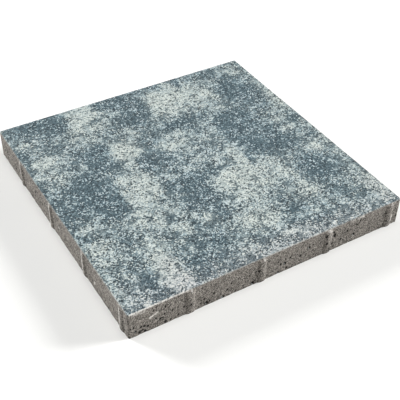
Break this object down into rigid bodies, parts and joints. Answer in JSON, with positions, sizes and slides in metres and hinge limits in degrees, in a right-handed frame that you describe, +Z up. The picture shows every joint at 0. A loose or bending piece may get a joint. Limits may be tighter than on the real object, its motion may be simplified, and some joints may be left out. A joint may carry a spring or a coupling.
{
  "type": "concrete paving slab",
  "caption": "Square pressed concrete paving slab with a mottled blue-grey wearing face, a chamfered top edge and upright spacer ribs on its sides.",
  "frame": {"origin": "middle of the bed face, on the ground", "axes": "+Z up from the bed face to the wearing face, +X and +Y square to the sides"},
  "size_m": [0.502, 0.502, 0.05],
  "materials": {
    "concrete": "matt pressed concrete: mottled blue-grey and off-white wearing face, bare warm-grey sides with open pores"
  },
  "bodies": {
    "root": {"slab": "concrete"}
  },
  "joints": []
}
